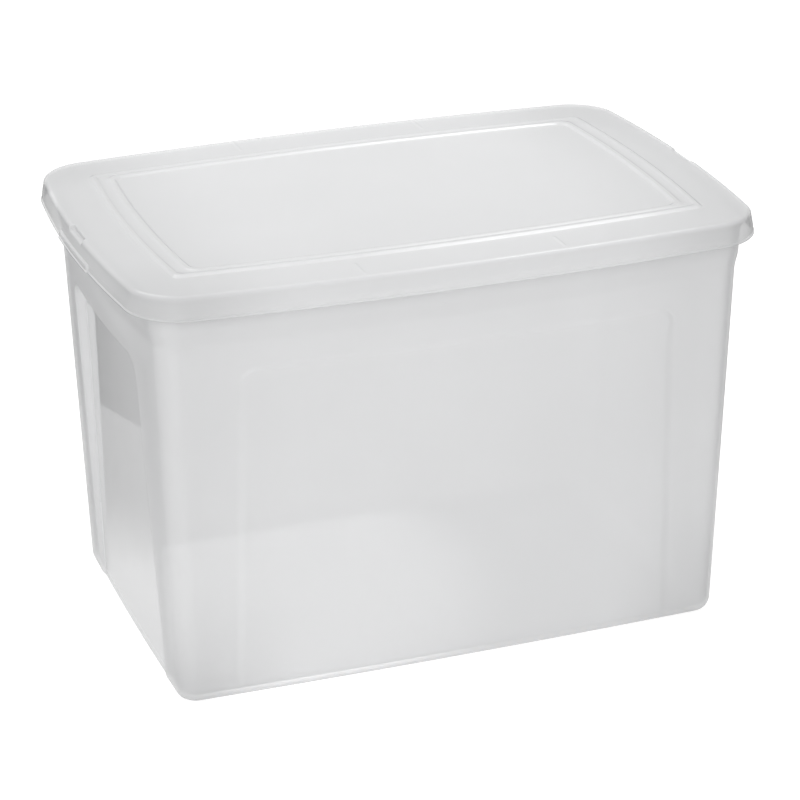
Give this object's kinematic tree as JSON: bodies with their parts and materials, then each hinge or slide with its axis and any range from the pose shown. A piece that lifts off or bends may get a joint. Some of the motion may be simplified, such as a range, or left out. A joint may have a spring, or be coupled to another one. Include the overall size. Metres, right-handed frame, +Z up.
{
  "type": "portable file box",
  "caption": "Translucent plastic storage tub with tapered, bowed walls, recessed at its two ends, and a lid that presses down over its rim, for hanging files.",
  "frame": {"origin": "middle of the underside, on the surface the box stands on", "axes": "+X along the long side, +Y across the width, +Z up; a pull tab of the lid is at each end of X"},
  "size_m": [0.4914, 0.3344, 0.3256],
  "materials": {
    "tub_plastic": "translucent milky polypropylene, fine gloss outside",
    "lid_plastic": "translucent milky polypropylene, soft gloss"
  },
  "bodies": {
    "tub": {"tub": "tub_plastic"},
    "lid": {"lid": "lid_plastic"}
  },
  "joints": [
    {"name": "lid_lift", "type": "slide", "parent": "tub", "child": "lid", "axis": [0, 0, 1], "range_m": [0, 0.15]}
  ]
}
